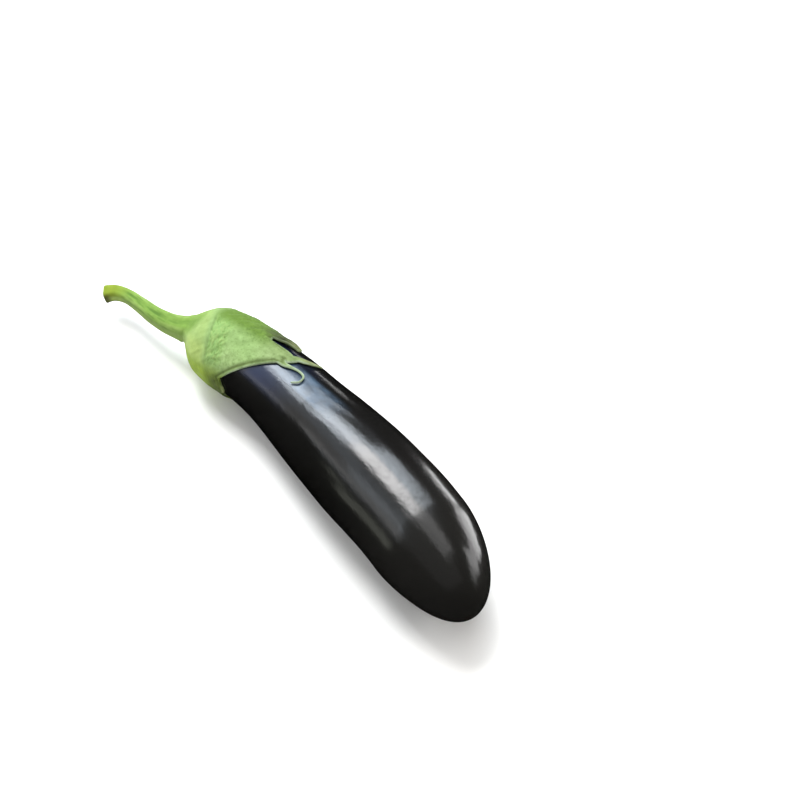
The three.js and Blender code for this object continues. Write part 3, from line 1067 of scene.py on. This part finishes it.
# %% Green: felt
felt.inputs["Roughness"].default_value = 0.78
felt.inputs["Specular IOR Level"].default_value = 0.2
felt.inputs["Sheen Weight"].default_value = 0.05
felt.inputs["Sheen Tint"].default_value = (0.85, 0.95, 0.65, 1.0)
felt.inputs["Sheen Roughness"].default_value = 0.5
fuzz = felt.bump(felt.noise(900.0, 3.0), 0.35, 0.0004)
felt.link(fuzz.outputs["Normal"], felt.inputs["Normal"])
green.data.materials.append(felt.material)
print("felt finished with", len(felt.nodes), "nodes")

# %% [markdown]
# Table and camera
#
# The table is a plain white sheet, which the skin doesn't mirror, so that its lower side stays
# dark. The camera looks down steeply from the blossom end's side, through a long lens.

# %% Table
table_mesh = bpy.data.meshes.new("table")
table_mesh.from_pydata([(-3, -3, 0), (3, -3, 0), (3, 3, 0), (-3, 3, 0)], [], [(0, 1, 2, 3)])
table = bpy.data.objects.new("table", table_mesh)
bpy.context.scene.collection.objects.link(table)
white = Finish("white table")
white.inputs["Base Color"].default_value = (0.92, 0.90, 0.87, 1.0)
white.inputs["Roughness"].default_value = 0.9
table_mesh.materials.append(white.material)
table.visible_glossy = False
print("table", table.dimensions[0], "m across")

# %% Camera
AZIMUTH = 50 * DEGREE
ELEVATION = 58 * DEGREE
AIM = Vector((-0.0267, 0.0428, 0.0194))
DISTANCE = 0.7614
SENSOR_WIDTH = 36.0
LENS = 67.5

back = Vector((
    np.sin(AZIMUTH) * np.cos(ELEVATION),
    -np.cos(AZIMUTH) * np.cos(ELEVATION),
    np.sin(ELEVATION),
))
camera_data = bpy.data.cameras.new("camera")
camera_data.sensor_width = SENSOR_WIDTH
camera_data.lens = LENS
camera_data.clip_start = 0.01
camera = bpy.data.objects.new("camera", camera_data)
camera.location = AIM + DISTANCE * back
camera.rotation_euler = back.to_track_quat("Z", "Y").to_euler()
bpy.context.scene.collection.objects.link(camera)
bpy.context.scene.camera = camera
print("camera at", [round(v, 3) for v in camera.location])

# %% [markdown]
# Light for a dark mirror
#
# On such a skin a light shows as its own mirror image. So each light is placed by what it
# draws: from a spot on the skin, follow the mirrored line of sight up to the ceiling or out to
# a wall, and put a panel there. One big softbox would draw one even band; panels of different
# brightness side by side make a streak that is bright in the middle and fades at its ends.


# %% A panel of light
def soft_panel(name, middle, width, height, facing, brightness, shade):
    """A rectangular light about a middle point, its width along X and its emitting side
    turned towards facing. Its power is brightness * pi * area."""
    away = -Vector(facing).normalized()
    x = Vector((1.0, 0.0, 0.0))
    data = bpy.data.lights.new(name, "AREA")
    data.shape = "RECTANGLE"
    data.size = width
    data.size_y = height
    data.energy = brightness * np.pi * width * height
    data.color = shade
    panel = bpy.data.objects.new(name, data)
    turn = Matrix((x, away.cross(x), away)).transposed().to_4x4()
    panel.matrix_world = Matrix.Translation(Vector(middle)) @ turn
    panel.visible_camera = False
    bpy.context.scene.collection.objects.link(panel)


CEILING = 1.0
FRONT = -0.30
REAR = 0.26
DOWN = (0.0, 0.0, -1.0)
COOL = (0.84, 0.92, 1.0)
NEUTRAL = (1.0, 1.0, 1.0)
OLIVE = (0.96, 1.0, 0.86)


def ceiling_panels(shade, panels):
    """Panels 1 m up that shine down, each a name, x, y, width, height and brightness."""
    for name, x, y, width, height, brightness in panels:
        soft_panel(name, (x, y, CEILING), width, height, DOWN, brightness, shade)
    print(len(bpy.data.lights), "panels so far")


def wall_panels(shade, y, panels):
    """Upright panels on a wall that face the object: name, x, z, width, height, brightness."""
    facing = (0.0, -np.sign(y), 0.0)
    for name, x, z, width, height, brightness in panels:
        soft_panel(name, (x, y, z), width, height, facing, brightness, shade)
    print(len(bpy.data.lights), "panels so far")


# %% [markdown]
# What each group draws
#
# The streak runs along the top of the fruit: neutral panels for its bright lower part, with
# dimmer ones where it ends, and cool ones on the neck, where the sky shows. The soft panels
# make the blue-grey band beside it, and two faint ones carry it on beyond its end. The lower
# panels make the dim band on the near flank, and the front ones the olive line below that.
# Along the rear stand the panels for the bright crescent by the blossom end and for the
# thin lines that lead to it.

# %% Streak and soft band
ceiling_panels(NEUTRAL, [
    ("streak", -0.47, 0.185, 0.26, 0.37, 20.5),
    ("streak_low", -0.48, -0.0425, 0.24, 0.085, 16.0),
    ("streak_tail", -0.325, 0.145, 0.03, 0.39, 11.0),
    ("streak_last", -0.285, 0.12, 0.05, 0.40, 3.0),
])
ceiling_panels(COOL, [
    ("streak_neck", -0.86, 0.135, 0.52, 0.23, 18.5),
    ("streak_blue", -0.86, 0.35, 0.52, 0.20, 15.0),
    ("streak_line", -0.90, -0.0825, 0.40, 0.095, 22.0),
    ("soft", -0.935, 0.555, 0.81, 0.19, 8.0),
    ("soft_neck", -1.525, 1.09, 0.65, 0.82, 7.0),
    ("soft_end", -0.435, 0.495, 0.19, 0.25, 13.5),
    ("soft_wide", -0.46, 0.76, 0.14, 0.28, 13.0),
    ("soft_edge", -0.55, 1.05, 0.16, 0.30, 10.0),
])
ceiling_panels(NEUTRAL, [
    ("beyond", 0.10, 0.33, 0.60, 0.26, 2.2),
    ("beyond_low", 0.10, 0.06, 0.60, 0.28, 1.8),
])

# %% Near flank
ceiling_panels(NEUTRAL, [
    ("lower", -1.06, -0.79, 0.92, 0.46, 1.05),
    ("lower_line", -0.985, -1.24, 1.07, 0.40, 2.3),
    ("overhead", 0.40, -0.55, 1.3, 1.5, 0.18),
])
ceiling_panels(COOL, [
    ("lower_end", -0.48, -0.79, 0.24, 0.46, 3.4),
    ("lower_dim", -0.94, -0.39, 1.16, 0.34, 1.5),
    ("lower_fade", -0.985, -1.60, 1.07, 0.32, 1.0),
])
wall_panels(OLIVE, FRONT, [
    ("horizon", -0.10, 0.078, 0.08, 0.094, 1.25),
    ("horizon_far", -0.165, 0.14, 0.05, 0.04, 1.4),
])

# %% Blossom end
wall_panels(NEUTRAL, REAR, [
    ("end_thin", -0.03, 0.0135, 0.07, 0.025, 11.0),
    ("end_line", -0.02, 0.048, 0.08, 0.044, 3.6),
    ("end_strip", 0.075, 0.020, 0.11, 0.11, 6.5),
    ("end_soft", 0.10, 0.095, 0.14, 0.04, 4.0),
    ("end_side", 0.15, 0.065, 0.04, 0.13, 5.5),
    ("end_turn", 0.22, 0.150, 0.10, 0.17, 4.6),
    ("end_fade", 0.335, 0.190, 0.13, 0.14, 2.2),
    ("far_line", -0.23, 0.010, 0.035, 0.020, 5.5),
])

# %% [markdown]
# The rest of the light
#
# A white surrounding fills in the shade on the table and the felt. The skin doesn't mirror
# it, because a white sky all round would wash out the dark between the panels.

# %% Surroundings
world = bpy.data.worlds.new("studio")
world.use_nodes = True
sky = world.node_tree.nodes["Background"].inputs
sky["Color"].default_value = (1.0, 1.0, 1.0, 1.0)
sky["Strength"].default_value = 0.35
world.cycles_visibility.glossy = False
bpy.context.scene.world = world
bpy.context.scene.view_settings.view_transform = "Standard"
print("surroundings at", round(sky["Strength"].default_value, 2))
